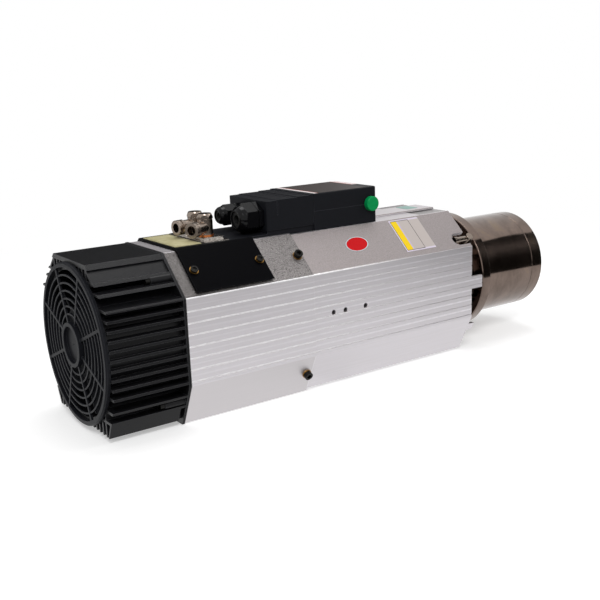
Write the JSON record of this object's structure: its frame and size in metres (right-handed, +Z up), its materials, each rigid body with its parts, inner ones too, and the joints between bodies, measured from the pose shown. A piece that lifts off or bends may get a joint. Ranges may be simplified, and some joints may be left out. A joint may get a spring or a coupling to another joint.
{
  "type": "motor spindle",
  "caption": "Air-cooled motor spindle with a tapered tool nose, pneumatic tool clamp, rear cooling fan and a pluggable terminal box on its octagonal body.",
  "frame": {"origin": "centre of the mounting bolt pattern on the flat mounting face under the front sleeve, below the spindle axis", "axes": "+X along the spindle axis towards the tool nose, +Z up from the mounting face to the terminal box, +Y to the side away from the spare cable entry"},
  "size_m": [0.5278, 0.141, 0.1777],
  "materials": {
    "aluminium_body": "satin extruded and anodised",
    "blued_steel": "turned steel, browned by heat treatment",
    "black_steel": "black oxide",
    "bright_steel": "ground",
    "black_plastic": "moulded, fine texture",
    "cowl_black": "black powder coat on a casting",
    "green_plastic": "moulded",
    "nickel": "nickel plated brass",
    "block_metal": "polished",
    "brass": "bright",
    "copper_winding": "varnished copper",
    "lamination": "stacked sheet",
    "rubber": "moulded",
    "plate": "printed foil on sheet",
    "red_plastic": "moulded"
  },
  "bodies": {
    "housing": {"front_sleeve": "aluminium_body", "rear_sleeve": "aluminium_body", "sleeve_screws": "black_steel", "screw_washers": "brass", "cover_plate": "cowl_black", "cover_screws": "black_steel", "rating_plate": "plate", "air_block": "block_metal", "banjo_bolts": "nickel", "banjo_washers": "brass", "connector_base_plate": "black_plastic", "terminal_box_base": "black_plastic", "terminal_box_lid": "black_plastic", "terminal_block": "red_plastic", "box_screws": "black_steel", "top_strip": "aluminium_body", "motor_housing": "aluminium_body", "stator_core": "lamination", "stator_windings": "copper_winding", "nose_housing": "blued_steel", "nose_cap": "blued_steel", "nose_cap_screws": "black_steel", "purge_fitting": "nickel", "rear_bearing_housing": "aluminium_body", "clamp_cylinder": "aluminium_body", "cylinder_cover": "aluminium_body", "position_sensors": "black_plastic", "fan_cowl": "cowl_black", "cowl_screws": "black_steel", "fan_guard": "black_plastic", "fan_motor": "black_plastic", "front_bearing_outer_rings": "bright_steel", "rear_bearing_outer_rings": "bright_steel"},
    "shaft": {"shaft": "bright_steel", "rotor_core": "lamination", "drive_keys": "bright_steel", "shaft_lock_nuts": "black_steel", "front_bearing_inner_rings": "bright_steel", "rear_bearing_inner_rings": "bright_steel", "disc_springs": "black_steel"},
    "front_cages": {"front_bearing_cages": "bright_steel"},
    "rear_cages": {"rear_bearing_cages": "bright_steel"},
    "drawbar": {"drawbar": "bright_steel"},
    "jaw_1": {"gripper_jaw_1": "bright_steel"},
    "jaw_2": {"gripper_jaw_2": "bright_steel"},
    "jaw_3": {"gripper_jaw_3": "bright_steel"},
    "jaw_4": {"gripper_jaw_4": "bright_steel"},
    "piston": {"clamp_piston": "aluminium_body", "piston_seal": "rubber"},
    "fan": {"fan_impeller": "black_plastic"},
    "left_elbow": {"left_elbow": "nickel"},
    "right_elbow": {"right_elbow": "nickel"},
    "left_collet": {"left_release_collet": "nickel"},
    "right_collet": {"right_release_collet": "nickel"},
    "hood": {"connector_hood": "black_plastic", "plug_insert": "red_plastic", "gland_bodies": "black_plastic", "gland_nuts": "black_plastic", "gland_seals": "rubber"},
    "port_plug": {"port_plug": "green_plastic"}
  },
  "joints": [
    {"name": "shaft_spin", "type": "hinge", "parent": "housing", "child": "shaft", "pos_m": [0, 0, 0.0702], "axis": [1, 0, 0], "continuous": true},
    {"name": "front_cage_spin", "type": "hinge", "parent": "housing", "child": "front_cages", "pos_m": [0.1862, 0, 0.0702], "axis": [1, 0, 0], "continuous": true},
    {"name": "rear_cage_spin", "type": "hinge", "parent": "housing", "child": "rear_cages", "pos_m": [-0.0978, 0, 0.0702], "axis": [1, 0, 0], "continuous": true},
    {"name": "fan_spin", "type": "hinge", "parent": "housing", "child": "fan", "pos_m": [-0.2881, 0, 0.0702], "axis": [1, 0, 0], "continuous": true},
    {"name": "piston_slide", "type": "slide", "parent": "housing", "child": "piston", "axis": [1, 0, 0], "range_m": [0, 0.0085], "stiffness_N_per_m": 2000, "springref_m": -0.002},
    {"name": "drawbar_slide", "type": "slide", "parent": "shaft", "child": "drawbar", "axis": [1, 0, 0], "range_m": [0, 0.0076], "deforming": ["disc_springs"]},
    {"name": "jaw_1_tilt", "type": "hinge", "parent": "drawbar", "child": "jaw_1", "pos_m": [0.1342, -0.00537, 0.07557], "axis": [0, -0.7071, -0.7071], "range_deg": [0, 3.6]},
    {"name": "jaw_2_tilt", "type": "hinge", "parent": "drawbar", "child": "jaw_2", "pos_m": [0.1342, -0.00537, 0.06483], "axis": [0, 0.7071, -0.7071], "range_deg": [0, 3.6]},
    {"name": "jaw_3_tilt", "type": "hinge", "parent": "drawbar", "child": "jaw_3", "pos_m": [0.1342, 0.00537, 0.06483], "axis": [0, 0.7071, 0.7071], "range_deg": [0, 3.6]},
    {"name": "jaw_4_tilt", "type": "hinge", "parent": "drawbar", "child": "jaw_4", "pos_m": [0.1342, 0.00537, 0.07557], "axis": [0, -0.7071, 0.7071], "range_deg": [0, 3.6]},
    {"name": "left_elbow_swivel", "type": "hinge", "parent": "housing", "child": "left_elbow", "pos_m": [-0.1693, -0.009, 0.1544], "axis": [0, 0, 1], "range_deg": [-16, 52]},
    {"name": "left_collet_press", "type": "slide", "parent": "left_elbow", "child": "left_collet", "axis": [0.8829, 0.4695, 0], "range_m": [0, 0.001], "stiffness_N_per_m": 500, "springref_m": -0.001},
    {"name": "right_elbow_swivel", "type": "hinge", "parent": "housing", "child": "right_elbow", "pos_m": [-0.1693, 0.009, 0.1544], "axis": [0, 0, 1], "range_deg": [-84, 10]},
    {"name": "right_collet_press", "type": "slide", "parent": "right_elbow", "child": "right_collet", "axis": [0.9848, 0.1736, 0], "range_m": [0, 0.001], "stiffness_N_per_m": 500, "springref_m": -0.001},
    {"name": "connector_pull", "type": "slide", "parent": "housing", "child": "hood", "axis": [-1, 0, 0], "range_m": [0, 0.015]},
    {"name": "port_plug_pull", "type": "slide", "parent": "housing", "child": "port_plug", "axis": [0, -1, 0], "range_m": [0, 0.012]}
  ],
  "couplings": [
    {"joint": "front_cage_spin", "follows": "shaft_spin", "ratio": 0.4677},
    {"joint": "rear_cage_spin", "follows": "shaft_spin", "ratio": 0.4637},
    {"joint": "drawbar_slide", "follows": "piston_slide", "ratio": 0.89412},
    {"joint": "jaw_1_tilt", "follows": "piston_slide", "rad_per_m": 7.392},
    {"joint": "jaw_2_tilt", "follows": "piston_slide", "rad_per_m": 7.392},
    {"joint": "jaw_3_tilt", "follows": "piston_slide", "rad_per_m": 7.392},
    {"joint": "jaw_4_tilt", "follows": "piston_slide", "rad_per_m": 7.392}
  ]
}
